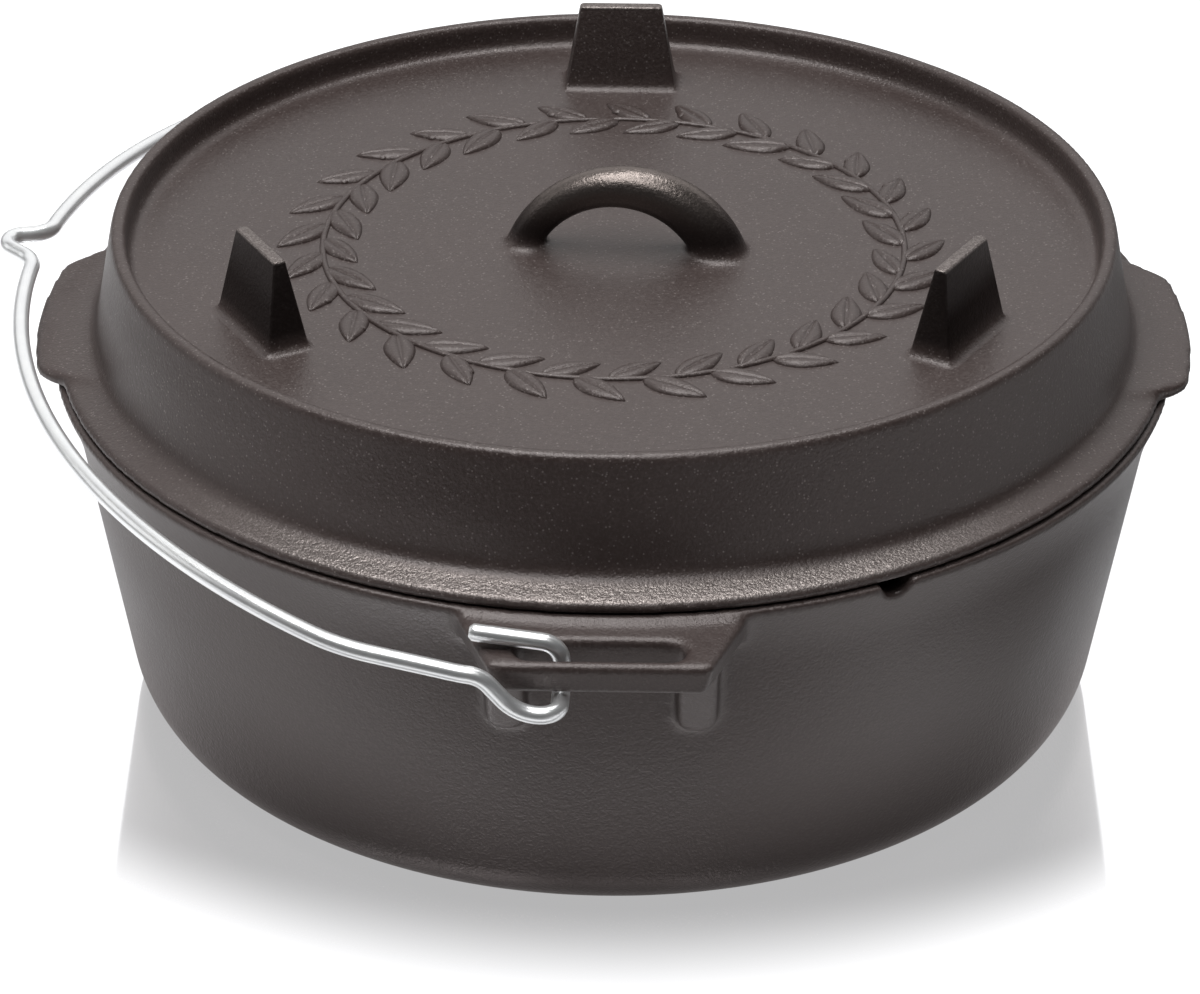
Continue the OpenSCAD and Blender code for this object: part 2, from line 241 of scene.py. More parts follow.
def seasoned_iron(name, glint_share, wear=None):
    """Iron with painted highlights on a share of grains; wear(place) gives masks of wear and painted light.
    """
    mat, shader, place = new_finish(name)
    sand = place.noise(SAND, 2.0, 0.55)
    pits = place.noise(PITS, 3.0, 0.6)
    patina = place.noise(PATINA, 4.0, 0.55).between(0.3, 0.7)
    # Bright grains painted into the colour: painted glints, the same under any light.
    painted_speck = painted_glints(place, glint_share)
    # Darker and duller towards the table: painted shade low on the pot.
    painted_low_shade = 1.0 - place.axis(2).between(0.0, LOW_SHADE_UP_TO)
    colour = patina.tint(IRON_DEEP, IRON_PALE)
    colour = (sand.between(0.42, 0.66) * 0.4).tint(colour, SAND_TIP)
    colour = painted_speck.tint(colour, PAINTED_GLINT_TINT)
    colour = (painted_low_shade * 0.7).tint(colour, POT_LOW_SHADE_TINT)
    metal = painted_speck * 0.3 + painted_low_shade * 0.7
    rough = 0.40 + 0.05 * patina + 0.16 * (sand - 0.5)
    height = sand * 0.55 + pits * 0.45
    if wear is not None:
        worn_and_highlit, polished, painted_shade = wear(place)
        # Worn places are also lightened as a painted highlight, with painted glints on single grains.
        painted_glint = worn_and_highlit * place.noise(PAINTED_WEAR_GLINT_SCALE, 1.0, 0.5).between(0.44, 0.6)
        colour = (painted_glint * 0.45 + worn_and_highlit * 0.28).tint(colour, WORN_AND_HIGHLIT_TINT)
        colour = (polished * 0.8).tint(colour, POLISHED)
        # Painted shade: the feet's sides and the handle's roots are darkened.
        colour = (painted_shade * 0.8).tint(colour, LID_SHADE_TINT)
        metal = metal + painted_glint * 0.25 + worn_and_highlit * 0.5 + polished * 0.85 + painted_shade * 0.5
        rough = rough - worn_and_highlit * 0.05 - polished * 0.07
        height = height * (1.0 + worn_and_highlit * 0.9)
    normal = place.make("ShaderNodeBump", Strength=0.5, Distance=0.0005, Height=height)
    feed(shader, Base_Color=colour, Roughness=rough, Metallic=metal, Normal=normal)
    feed(shader, Specular_Tint=WARM_SHEEN, Specular_IOR_Level=SHEEN)
    return mat


pot_iron = seasoned_iron("pot_seasoned_iron", 0.1)
print("finish of the pot:", pot_iron.name)

# %% [markdown]
# Use leaves its marks on the lid, and light is painted in with them. Hands and lid lifters rub the flange,
# in front and behind, and the tops of the feet down to bright grains; these places are also lightened as a
# painted highlight with painted glints, which fades out at the flange's sides. The arch of the handle is
# polished. The feet's sides and the handle's roots get painted shade, the back foot much less, as its face
# is turned to the light. Such marks could be drawn on an image. As masks worked out from a point's height
# and its distance from the middle they follow the shape, and move with it when a size changes.

# %% Wear and painted light on the lid
WORN_HIGHLIT_FROM, WORN_HIGHLIT_TO = (SKIRT_R + 0.0005, SKIRT_R + 0.0035), (FLANGE_R - 0.0016, FLANGE_R - 0.0004)
WORN_HIGHLIT_UP_TO, WORN_HIGHLIT_SIDE = (FLANGE_TOP + 0.0022, FLANGE_TOP + 0.0045), (0.06, 0.12)
FEET_FROM, FEET_TO, BACK_FOOT = (0.07, 0.08), (0.115, 0.119), (0.05, 0.09)
FEET_WORN_HIGHLIT = (PLATE_Z + FOOT_H - 0.0010, PLATE_Z + FOOT_H - 0.0004)
HANDLE_TO, HELD_FROM = (0.06, 0.07), (PLATE_Z + 0.005, PLATE_Z + 0.019)
OFF_PLATE = (PLATE_Z + 0.001, PLATE_Z + 0.006)


def lid_wear_and_painted_light(place):
    """Three masks: what is worn bare and lightened as a painted highlight, what hands polish, painted
    shade.
    """
    r, y, z = place.from_middle(), place.axis(1), place.axis(2)
    sideways = place.math("ABSOLUTE", place.axis(0))
    above = z.between(*OFF_PLATE)
    # Flange: worn bare and lightened as a painted highlight, fading out at its sides.
    flange = r.between(*WORN_HIGHLIT_FROM) * (1.0 - r.between(*WORN_HIGHLIT_TO)) * (1.0 - z.between(*WORN_HIGHLIT_UP_TO))
    flange = flange * (1.0 - sideways.between(*WORN_HIGHLIT_SIDE))
    # Foot tops: worn, and lightened as a painted highlight.
    foot_tops = r.between(*FEET_FROM) * z.between(*FEET_WORN_HIGHLIT)
    # Feet's sides get painted shade, the back foot much less, as its face is turned to the light.
    feet = r.between(*FEET_FROM) * (1.0 - r.between(*FEET_TO)) * (1.0 - 0.7 * y.between(*BACK_FOOT))
    handle = (1.0 - r.between(*HANDLE_TO)) * above
    held = z.between(*HELD_FROM)
    # Painted shade on the feet's sides and on the handle below where hands hold it.
    painted_shade = feet * above * (1.0 - foot_tops) + handle * (1.0 - held) * 0.95
    return flange + foot_tops * 0.8, handle * held, painted_shade


lid_iron = seasoned_iron("lid_seasoned_iron", 0.6, lid_wear_and_painted_light)
print("finish of the lid:", lid_iron.name)

# %% [markdown]
# The wire is zinc plated: bright, a little blue, cloudy in patches and with a very fine grain. It could
# be a plain mirror, but real plating scatters the light a little, and the two noises give just that.

# %% Zinc on the wire
ZINC_DULL, ZINC_BRIGHT = (0.86, 0.87, 0.88, 1), (0.91, 0.92, 0.92, 1)
CLOUDS, DRAWN = 140.0, 2500.0
zinc, shader, place = new_finish("bright_zinc")
cloud = place.noise(CLOUDS, 3.0, 0.6).between(0.3, 0.7)
fine = place.noise(DRAWN, 2.0, 0.5)
feed(shader, Base_Color=cloud.tint(ZINC_DULL, ZINC_BRIGHT),
     Roughness=0.30 + 0.03 * cloud + 0.04 * (fine - 0.5), Metallic=0.8,
     Normal=place.make("ShaderNodeBump", Strength=0.04, Distance=0.0002, Height=fine))
print("finish of the wire:", zinc.name)

# %% [markdown]
# Geometry Nodes make what follows a rule: turned bodies, rods swept along a line, feet round the lid,
# leaves of a wreath. Each tree has named inputs and ends in real meshes with a material. It runs once
# on a source mesh, and the result is kept as a plain mesh. The modifier could stay live instead, but
# the pieces are joined and remeshed further down, and the export wants plain meshes as well.

# %% Trees that become plain meshes


def new_tree(name, inputs):
    """A Geometry Nodes tree with a geometry in and out and the named sizes."""
    tree = bpy.data.node_groups.new(name, "GeometryNodeTree")
    tree.interface.new_socket("Geometry", in_out="INPUT", socket_type="NodeSocketGeometry")
    for label, kind, value in inputs:
        tree.interface.new_socket(label, in_out="INPUT", socket_type=kind).default_value = value
    tree.interface.new_socket("Material", in_out="INPUT", socket_type="NodeSocketMaterial")
    tree.interface.new_socket("Geometry", in_out="OUTPUT", socket_type="NodeSocketGeometry")
    return tree, tree.nodes.new("NodeGroupInput").outputs, tree.nodes.new("NodeGroupOutput").inputs


def reckon(tree, operation, *values):
    """One Math node on numbers or sockets."""
    sockets = {"i%d" % k: value for k, value in enumerate(values)}
    return add(tree, "ShaderNodeMath", {"operation": operation}, **sockets)[0]


def end_tree(tree, inp, out, made):
    """Instances become real meshes and take the tree's material."""
    whole = add(tree, "GeometryNodeRealizeInstances", Geometry=made)
    dressed = add(tree, "GeometryNodeSetMaterial", Geometry=whole[0], Material=inp["Material"])
    tree.links.new(dressed[0], out[0])


def applied(obj):
    """What an object's modifiers make of its mesh, as a plain mesh; the object itself goes."""
    bpy.context.view_layer.update()
    mesh = bpy.data.meshes.new_from_object(obj.evaluated_get(bpy.context.evaluated_depsgraph_get()))
    obj.modifiers.clear()
    bpy.data.objects.remove(obj)
    return mesh


def grow(name, tree, source, material, **values):
    """Runs a tree on a source mesh, with _ for a space in an input's name."""
    values = {key.replace("_", " "): value for key, value in values.items()} | {"Material": material}
    obj = put_in(name + "_source", source)
    mod = obj.modifiers.new("nodes", "NODES")
    mod.node_group = tree
    for item in tree.interface.items_tree:
        if item.in_out == "INPUT" and item.name in values:
            mod[item.identifier] = values[item.name]
    mesh = applied(obj)
    mesh.name = name
    return mesh


print("tree helpers:", new_tree.__name__, reckon.__name__, end_tree.__name__, grow.__name__)

# %% [markdown]
# A pattern maker would turn the wooden pattern of such a pot on a lathe. Geometry Nodes do the same:
# a grid is laid out, one way along the profile and the other way round the circle, and each of its
# points is put at the profile's radius and height. The seam and the two poles are merged at the end.
# A Screw modifier could do it too, but the tree keeps the number of steps as a named input.

# %% Turning on a lathe
STEPS_ROUND, MERGE = 360, 2e-6


def turning_tree():
    tree, inp, out = new_tree("turned_body", [
        ("Steps round", "NodeSocketInt", STEPS_ROUND), ("Points", "NodeSocketInt", 10)])
    steps, points = inp["Steps round"], inp["Points"]
    grid = add(tree, "GeometryNodeMeshGrid", i0=1.0, i1=1.0, i2=reckon(tree, "ADD", steps, 1.0), i3=points)
    index = add(tree, "GeometryNodeInputIndex")[0]
    row = reckon(tree, "MODULO", index, points)
    column = reckon(tree, "FLOOR", reckon(tree, "DIVIDE", index, points))
    angle = reckon(tree, "MULTIPLY", reckon(tree, "DIVIDE", column, steps), 2 * math.pi)
    sample = add(tree, "GeometryNodeSampleIndex", {"data_type": "FLOAT_VECTOR", "domain": "POINT"},
                 Geometry=inp["Geometry"], Value=add(tree, "GeometryNodeInputPosition")[0], Index=row)
    radius, _, height = add(tree, "ShaderNodeSeparateXYZ", i0=sample[0])
    x = reckon(tree, "MULTIPLY", radius, reckon(tree, "COSINE", angle))
    y = reckon(tree, "MULTIPLY", radius, reckon(tree, "SINE", angle))
    spot = add(tree, "ShaderNodeCombineXYZ", i0=x, i1=y, i2=height)
    moved = add(tree, "GeometryNodeSetPosition", Geometry=grid["Mesh"], Position=spot[0])
    merged = add(tree, "GeometryNodeMergeByDistance", Geometry=moved[0], Distance=MERGE)
    end_tree(tree, inp, out, merged[0])
    return tree


TURNING = turning_tree()


def outward(name, body):
    """The mesh of a closed bmesh, with all its faces pointing out."""
    bmesh.ops.recalc_face_normals(body, faces=body.faces)
    mesh = bpy.data.meshes.new(name)
    body.to_mesh(mesh)
    body.free()
    return mesh


def line_mesh(name, points):
    """Points joined one after the other by edges."""
    line = bpy.data.meshes.new(name)
    line.from_pydata([tuple(p) for p in points], [(i, i + 1) for i in range(len(points) - 1)], [])
    return line


def turned(name, profile, material):
    """A closed body of a profile that starts and ends on the axis."""
    line = line_mesh(name + "_profile", [(r, 0, z) for r, z in profile])
    body = bmesh.new()
    body.from_mesh(grow(name, TURNING, line, material, Steps_round=STEPS_ROUND, Points=len(profile)))
    return outward(name, body)


print("turning tree:", len(TURNING.nodes), "nodes")

# %% [markdown]
# The pot's profile runs from the middle of its underside over the rounded base and the drafted wall to
# the flared rim, and back inside to the middle of the floor. It could be drawn as a curve with handles.
# Worked out from the sizes, every radius and height is the one that the solid has.

# %% Turned pot
FINE, MEDIUM, ROW = 16, 12, 0.006


def wall_r(z):
    """The wall's outer radius at a height, without the flare."""
    return BASE_R + (WALL_TOP_R - BASE_R) * z / POT_H


def inner_r(z):
    """Its inner radius at the same height."""
    return wall_r(z) - WALL / math.cos(DRAFT)


def arc(cx, cz, r, a0, a1, n):
    """Points of a rounding in the profile's plane, angles in degrees."""
    return [(cx + r * math.cos(math.radians(a0 + (a1 - a0) * i / n)),
             cz + r * math.sin(math.radians(a0 + (a1 - a0) * i / n))) for i in range(n + 1)]


def round_x(r, size, lean):
    """Where the middle of a rounding lies that touches a leaning wall and a flat."""
    return r - size * (1 - math.sin(lean)) / math.cos(lean)


def evenly(profile):
    """The same line with points no further apart than a row, so that long straights get rows too."""
    out = [profile[0]]
    for (r0, z0), (r1, z1) in zip(profile, profile[1:]):
        n = max(1, math.ceil(math.hypot(r1 - r0, z1 - z0) / ROW))
        out += [(r0 + (r1 - r0) * i / n, z0 + (z1 - z0) * i / n) for i in range(1, n + 1)]
    return out


draft, inner_round = math.degrees(DRAFT), BASE_ROUND - WALL
rim_z = [POT_H - EDGE - (FLARE_H - EDGE) * (1 - i / MEDIUM) for i in range(MEDIUM + 1)]
pot_profile = (
    [(0, 0)]
    + arc(round_x(BASE_R, BASE_ROUND, DRAFT), BASE_ROUND, BASE_ROUND, -90, -draft, FINE)
    + [(wall_r(z) + FLARE * (i / MEDIUM) ** 2, z) for i, z in enumerate(rim_z)]
    + [(RIM_R - EDGE, POT_H), (inner_r(POT_H) + EDGE, POT_H), (inner_r(POT_H - EDGE), POT_H - EDGE)]
    + arc(round_x(inner_r(FLOOR), inner_round, DRAFT), FLOOR + BASE_ROUND - WALL, inner_round,
          -draft, -90, FINE)
    + [(0, FLOOR)])
pot_turned = turned("pot_turned", evenly(pot_profile), pot_iron)
print("turned pot:", len(pot_turned.vertices), "points")

# %% [markdown]
# Ears, ribs and feet are blocks at this stage, as on a wooden pattern before its corners are filled with
# wax. A block is lofted through rings of points, and a Boolean modifier takes one block from another or
# keeps what two share. Plain cubes could be scaled and cut to the same end, with many more steps.

# %% Blocks and cuts


def loft(name, rings):
    """A closed block through rings of points."""
    body = bmesh.new()
    rows = [[body.verts.new(p) for p in ring] for ring in rings]
    n = len(rows[0])
    body.faces.new(rows[0][::-1])
    body.faces.new(rows[-1])
    for low, high in zip(rows, rows[1:]):
        for i in range(n):
            body.faces.new((low[i], low[(i + 1) % n], high[(i + 1) % n], high[i]))
    return outward(name, body)


def prism(outline, low, high, place, lower=None):
    """A block between outlines at two heights; place() turns each point into the pot's frame."""
    ends = ((lower or outline, low), (outline, high))
    return loft("block", [[place((x, y, z)) for x, y in line] for line, z in ends])


def spun(angle):
    """Turns a point about the Z axis."""
    c, s = math.cos(angle), math.sin(angle)
    return lambda p: (c * p[0] - s * p[1], s * p[0] + c * p[1], p[2])


def with_modifier(mesh, kind, **settings):
    """The mesh as one modifier leaves it."""
    obj = put_in("work", mesh)
    mod = obj.modifiers.new("work", kind)
    for key, value in settings.items():
        setattr(mod, key, value)
    return applied(obj)


def cut(mesh, tool, operation="DIFFERENCE"):
    """The mesh less the tool, or with INTERSECT what both share."""
    tool_obj = put_in("tool", tool)
    done = with_modifier(mesh, "BOOLEAN", operation=operation, object=tool_obj, solver="EXACT")
    bpy.data.objects.remove(tool_obj)
    return done


print("block helpers:", loft.__name__, prism.__name__, cut.__name__)

# %% [markdown]
# An ear stands out from the rim in front and another behind, each with a slot that takes the bail's
# hook. It narrows towards its lip, and its ends and front draw in a little on the way down. A scaled
# cube could be pulled into that shape, but two outlines at two heights give every corner by its size.

# %% Ears
EAR_TOP, EAR_LOW, LIP_Y = 0.101, 0.0925, 0.1728
EAR_ROOT_W, EAR_LIP_W, EAR_REACH, EAR_TAPER, EAR_DRAFT = 0.0695, 0.055, 0.0198, 0.0018, 0.0011
SLOT_L, SLOT_W, SLOT_Y = 0.042, 0.009, 0.1645
ROOT, OVER = 0.016, 0.001
HALVES = [spun(0), spun(math.pi)]

ear_slope = (EAR_ROOT_W - EAR_LIP_W) / 2 / EAR_REACH
ear_in = EAR_ROOT_W / 2 + ear_slope * ROOT
ear_outline = [(-ear_in, ROOT - RIM_R), (-EAR_LIP_W / 2, -LIP_Y),
               (EAR_LIP_W / 2, -LIP_Y), (ear_in, ROOT - RIM_R)]
ear_lower = [(x - math.copysign(EAR_TAPER, x), max(y, EAR_DRAFT - LIP_Y)) for x, y in ear_outline]
straight = (SLOT_L - SLOT_W) / 2
slot_outline = ([(x + straight, y - SLOT_Y) for x, y in arc(0, 0, SLOT_W / 2, -90, 90, FINE)]
                + [(x - straight, y - SLOT_Y) for x, y in arc(0, 0, SLOT_W / 2, 90, 270, FINE)])
ears = [cut(prism(ear_outline, EAR_LOW, EAR_TOP, half, ear_lower),
            prism(slot_outline, EAR_LOW - OVER, EAR_TOP + OVER, half)) for half in HALVES]
print("ears:", len(ears), "of", len(ears[0].polygons), "faces")

# %% [markdown]
# Two ribs with round feet carry each ear. A rib is what two prisms share, one drawn from the side and
# one from the front, because a single outline can't give both of its roundings.

# %% Ribs
RIB_X, RIB_T, RIB_H, RIB_Y, RIB_FOOT = 0.019, 0.010, 0.0275, 0.160, 0.003
rib_in, rib_low_r = RIM_R - ROOT - RIB_FOOT, wall_r(EAR_LOW - RIB_H)
rib_side = [(rib_in, OVER), (RIB_Y, OVER), (RIB_Y, -RIB_FOOT), (rib_low_r + RIB_FOOT, RIB_FOOT - RIB_H),
            (rib_low_r + RIB_FOOT / 2, -RIB_H), (rib_in, -RIB_H)]


def rib(x, half):
    """A rib whose middle is at x, on the front or the back half of the pot."""
    rib_front = (arc(x, RIB_T / 2 - RIB_H, RIB_T / 2, 180, 360, MEDIUM)
                 + [(x + RIB_T / 2, 2 * OVER), (x - RIB_T / 2, 2 * OVER)])
    side_view = prism(rib_side, x - RIB_T / 2, x + RIB_T / 2,
                      lambda p: half((p[2], -p[0], EAR_LOW + p[1])))
    front_view = prism(rib_front, RIM_R - 2 * ROOT, LIP_Y, lambda p: half((p[0], -p[2], EAR_LOW + p[1])))
    return cut(side_view, front_view, "INTERSECT")


pot_blocks = []
for ear, half in zip(ears, HALVES):
    pot_blocks += [ear] + [rib(side * (RIB_X + RIB_T / 2), half) for side in (-1, 1)]
print("ears and ribs:", len(pot_blocks), "blocks")

# %% [markdown]
# A half round notch in the rim lets the cable of a probe out under the lid. Points of the rim could be
# pushed down for it, but that stretches their faces. It is cut with a round rod that lies across the
# rim, which leaves a clean edge.

# %% Notch in the rim
NOTCH_R, NOTCH_AT, NOTCH_N = 0.0043, math.radians(-61), 24
to_notch = spun(NOTCH_AT)
notch_rod = prism(arc(0, 0, NOTCH_R, 0, 360 - 360 / NOTCH_N, NOTCH_N - 1), RIM_R - ROOT, RIM_R + ROOT,
                  lambda p: to_notch((p[2], p[0], POT_H + p[1])))
pot_turned = cut(pot_turned, notch_rod)
print("pot with its notch:", len(pot_turned.vertices), "points")

# %% [markdown]
# The lid is a second turned casting: a plate inside a raised edge that keeps coals from rolling off, a
# leaning skirt, a flange that lies on the rim and falls a little outwards, and below it a lip that keeps
# the lid centred. The fillet between skirt and flange touches both slanted lines, so its middle is
# where two lines at its radius from them meet. A Bevel modifier could round that corner too, but not
# to the very size that the solid has.

# %% Skirt and flange
SKIRT_FILLET = 0.004
LEAN = math.atan(SKIRT_IN / (LID_TOP - FLANGE_TOP))
SLOPE = math.atan(FLANGE_RISE / FLANGE_W)


def skirt_at(z):
    """The skirt's radius at a height."""
    return SKIRT_R - SKIRT_IN * (z - FLANGE_TOP) / (LID_TOP - FLANGE_TOP)


def fillet_middle():
    """The point that lies one fillet radius off the skirt and off the flange."""
    off_skirt = math.cos(LEAN) * SKIRT_R + math.sin(LEAN) * FLANGE_TOP + SKIRT_FILLET
    off_flange = math.sin(SLOPE) * (FLANGE_R - EDGE) + math.cos(SLOPE) * FLANGE_TOP + SKIRT_FILLET
    return ((off_skirt * math.cos(SLOPE) - off_flange * math.sin(LEAN)) / math.cos(LEAN + SLOPE),
            (off_flange * math.cos(LEAN) - off_skirt * math.sin(SLOPE)) / math.cos(LEAN + SLOPE))


print("skirt leans %.1f degrees, flange falls %.1f" % (math.degrees(LEAN), math.degrees(SLOPE)))
print("middle of the fillet:", [round(v, 4) for v in fillet_middle()])

# %% [markdown]
# The profile runs from the middle of the plate over the raised edge, down the skirt and round the flange,
# past the centring lip and up to the ceiling. The lip is open where the pot has its notch, so that a
# cable isn't pinched. That gap is cut last, because a turned shape can't have it.

# %% Turned lid
REGISTER_H, REGISTER_GAP = 0.004, 0.0008
ROOF_ROUND, LID_SOFT, COARSE = 0.005, 0.0015, 6
lean, soft = math.degrees(LEAN), LID_SOFT
edge_in, under = SKIRT_R - SKIRT_IN - LID_T, LID_T / math.cos(LEAN)
ceiling, register_z = PLATE_Z - LID_T, POT_H - REGISTER_H
register_r = inner_r(register_z) - REGISTER_GAP
lid_profile = (
    [(0, PLATE_Z)]
    + arc(edge_in - soft, PLATE_Z + soft, soft, -90, 0, COARSE)
    + arc(edge_in + soft, LID_TOP - soft, soft, 180, 90, COARSE)
    + arc(skirt_at(LID_TOP) - soft, LID_TOP - soft, soft, 90, lean, COARSE)
    + arc(*fillet_middle(), SKIRT_FILLET, 180 + lean, 270 - math.degrees(SLOPE), MEDIUM)
    + [(FLANGE_R - EDGE, FLANGE_TOP), (FLANGE_R, FLANGE_TOP - EDGE), (FLANGE_R, POT_H + EDGE),
       (FLANGE_R - EDGE, POT_H), (register_r, POT_H), (register_r, register_z + EDGE),
       (register_r - EDGE, register_z), (skirt_at(register_z) - under, register_z)]
    + arc(round_x(skirt_at(ceiling) - under, ROOF_ROUND, LEAN), ceiling - ROOF_ROUND, ROOF_ROUND,
          lean, 90, MEDIUM)
    + [(0, ceiling)])
lid_turned = turned("lid_turned", evenly(lid_profile), lid_iron)
cable_way = prism([(-NOTCH_R, -OVER), (NOTCH_R, -OVER), (NOTCH_R, REGISTER_H), (-NOTCH_R, REGISTER_H)],
                  RIM_R - 2 * ROOT, RIM_R + ROOT, lambda p: to_notch((p[2], p[0], register_z + p[1])))
lid_turned = cut(lid_turned, cable_way)
print("turned lid:", len(lid_turned.vertices), "points")

# %% [markdown]
# A flat grip on each side lets two hands carry the lid when it is used as a pan. It lies on the flange
# a little proud of it, falls outwards, and has slanted ends and rounded corners. A cut block could give
# the outline but not the fall, so it is laid out as a grid of points: rows along the radius, columns
# from end to end. The leaves of the wreath further down use the same helper.

# %% Side grips
GRIP_R, GRIP_W, GRIP_SLOPE, GRIP_T, GRIP_CORNER = 0.1577, 0.066, 0.65, 0.0031, 0.0045
GRIP_PROUD, GRIP_LOW = 0.0003, POT_H + 0.0004
GRIP_ROWS, GRIP_ROW, GRIP_COLUMNS = 9, 0.0015, 17


def slab(rows, columns, spot):
    """A closed block between two grids; spot(i, j, top) gives a point of the lower or upper one."""
    body = bmesh.new()
    low, high = ([[body.verts.new(spot(i, j, top)) for j in range(columns)] for i in range(rows)]
                 for top in (False, True))
    for grid in (low, high):
        for i in range(rows - 1):
            for j in range(columns - 1):
                body.faces.new((grid[i][j], grid[i + 1][j], grid[i + 1][j + 1], grid[i][j + 1]))
    rim = [(i, 0) for i in range(rows)] + [(rows - 1, j) for j in range(1, columns)]
    rim += [(i, columns - 1) for i in range(rows - 2, -1, -1)] + [(0, j) for j in range(columns - 2, 0, -1)]
    for (a, b), (c, d) in zip(rim, rim[1:] + rim[:1]):
        body.faces.new((low[a][b], low[c][d], high[c][d], high[a][b]))
    return outward("slab", body)


grip_radii = [SKIRT_R - LID_T / 2 + i * GRIP_ROW for i in range(GRIP_ROWS)]
grip_radii += [GRIP_R - GRIP_CORNER + GRIP_CORNER * math.sin(math.radians(a)) for a in range(0, 91, 15)]
grip_high = FLANGE_TOP + (FLANGE_R - EDGE - grip_radii[0]) * math.tan(SLOPE) + GRIP_PROUD
grip_fall = GRIP_LOW + GRIP_T - grip_high


def grip_spot(i, j, top):
    """A point of a grip: row i along the radius, column j from end to end."""
    r = grip_radii[i]
    corner = max(0, r - GRIP_R + GRIP_CORNER)
    half = GRIP_W / 2 + GRIP_SLOPE * (GRIP_R - r) - GRIP_CORNER + math.sqrt(GRIP_CORNER ** 2 - corner ** 2)
    y = half * (2 * j / (GRIP_COLUMNS - 1) - 1)
    share = (r - grip_radii[0]) / (GRIP_R - EDGE - grip_radii[0])
    return math.sqrt(r * r - y * y), y, grip_high + grip_fall * share if top else GRIP_LOW


grips = []
for turn in (0, math.pi):
    grip = slab(len(grip_radii), GRIP_COLUMNS, grip_spot)
    grip.transform(Matrix.Rotation(turn, 4, "Z"))
    grips.append(grip)
print("grips:", len(grips), "of", len(grips[0].polygons), "faces")

# %% [markdown]
# Three blade feet stand on the lid, so that it can be turned over and used as a pan. One foot is lofted
# through rings of rounded rectangles: a flare out of the plate, the wedge itself and a soft top. It
# could be remeshed with the lid, but voxels would step its slanted faces, so it stays crisp and is
# joined to the lid's skin later. Geometry Nodes set it on the three places round the plate.

# %% Feet
FOOT_AT, FOOT_TOP, FOOT_BASE = 0.105, (0.0034, 0.0235), (0.012, 0.032)
FOOT_COUNT, FOOT_FIRST, FOOT_CREASE, FOOT_CORNER_N = 3, math.radians(90), math.radians(20), 3
FOOT_FILLET, FOOT_SOFT, FOOT_CORNER, FOOT_SUNK = 0.0022, 0.0007, 0.0009, 0.0006


def ring_tree():
    tree, inp, out = new_tree("set_round_the_lid", [
        ("Copies", "NodeSocketInt", FOOT_COUNT), ("First angle", "NodeSocketFloat", FOOT_FIRST)])
    spots = add(tree, "GeometryNodeMeshLine", {"mode": "OFFSET"}, Count=inp["Copies"], Offset=(0, 0, 0))
    share = reckon(tree, "DIVIDE", add(tree, "GeometryNodeInputIndex")[0], inp["Copies"])
    turn = reckon(tree, "MULTIPLY_ADD", share, 2 * math.pi, inp["First angle"])
    angles = add(tree, "ShaderNodeCombineXYZ", i2=turn)
    copies = add(tree, "GeometryNodeInstanceOnPoints", Points=spots[0], Instance=inp["Geometry"],
                 Rotation=angles[0])
    end_tree(tree, inp, out, copies[0])
    return tree


def blade_rings():
    """Rings from below the plate to the top, each by its rise and by how much wider it is."""
    levels = [(-FOOT_SUNK, FOOT_FILLET)]
    levels += [(FOOT_FILLET * (1 - math.cos(a)), FOOT_FILLET * (1 - math.sin(a)))
               for a in np.radians(range(0, 91, 15))]
    levels += [(FOOT_H - FOOT_SOFT * (1 - math.sin(a)), FOOT_SOFT * (math.cos(a) - 1))
               for a in np.radians(range(0, 91, 30))]
    for rise, wider in levels:
        share = max(0, rise) / FOOT_H
        t, w = ((1 - share) * base / 2 + share * top / 2 + wider for base, top in zip(FOOT_BASE, FOOT_TOP))
        soft = FOOT_CORNER + max(0, wider)
        corners = [arc(i * (t - soft), j * (w - soft), soft, a, a + 90, FOOT_CORNER_N)
                   for i, j, a in ((1, 1, 0), (-1, 1, 90), (-1, -1, 180), (1, -1, 270))]
        yield [(FOOT_AT + x, y, PLATE_Z + rise) for corner in corners for x, y in corner]


foot = loft("foot", list(blade_rings()))
foot.shade_smooth()
foot.set_sharp_from_angle(angle=FOOT_CREASE)
feet = grow("feet", ring_tree(), foot, lid_iron, Copies=FOOT_COUNT, First_angle=FOOT_FIRST)
print("feet:", len(feet.polygons), "faces")

# %% [markdown]
# Rods are swept: a line along the middle carries the radius at each point, and Curve to Mesh moves a
# circle along it. A curve with a bevel could do it as well. The tree takes its radii from an attribute,
# so that one helper makes both the tapered handle and the wire of the bail.

# %% Sweeping along a line


def circle(tree, steps, radius):
    """A circle of so many points."""
    by_radius = {"mode": "RADIUS"}
    return add(tree, "GeometryNodeCurvePrimitiveCircle", by_radius, Resolution=steps, Radius=radius)[0]


def sweep_tree():
    tree, inp, out = new_tree("swept_rod", [("Sides", "NodeSocketInt", 24)])
    ring = circle(tree, inp["Sides"], 1.0)
    thick = add(tree, "GeometryNodeInputNamedAttribute", {"data_type": "FLOAT"}, Name="thickness")
    path = add(tree, "GeometryNodeMeshToCurve", i0=inp["Geometry"])
    rod = add(tree, "GeometryNodeCurveToMesh", Curve=path[0], i1=ring, Scale=thick[0], i3=True)
    end_tree(tree, inp, out, rod[0])
    return tree


SWEEP = sweep_tree()


def swept(name, points, radii, sides, material):
    """A closed rod along points, with a radius at each of them."""
    line = line_mesh(name + "_line", points)
    thickness = line.attributes.new("thickness", "FLOAT", "POINT")
    thickness.data.foreach_set("value", [float(r) for r in radii])
    body = bmesh.new()
    body.from_mesh(grow(name, SWEEP, line, material, Sides=sides))
    bmesh.ops.remove_doubles(body, verts=body.verts, dist=1e-7)
    return outward(name, body)


print("sweeping tree:", len(SWEEP.nodes), "nodes")

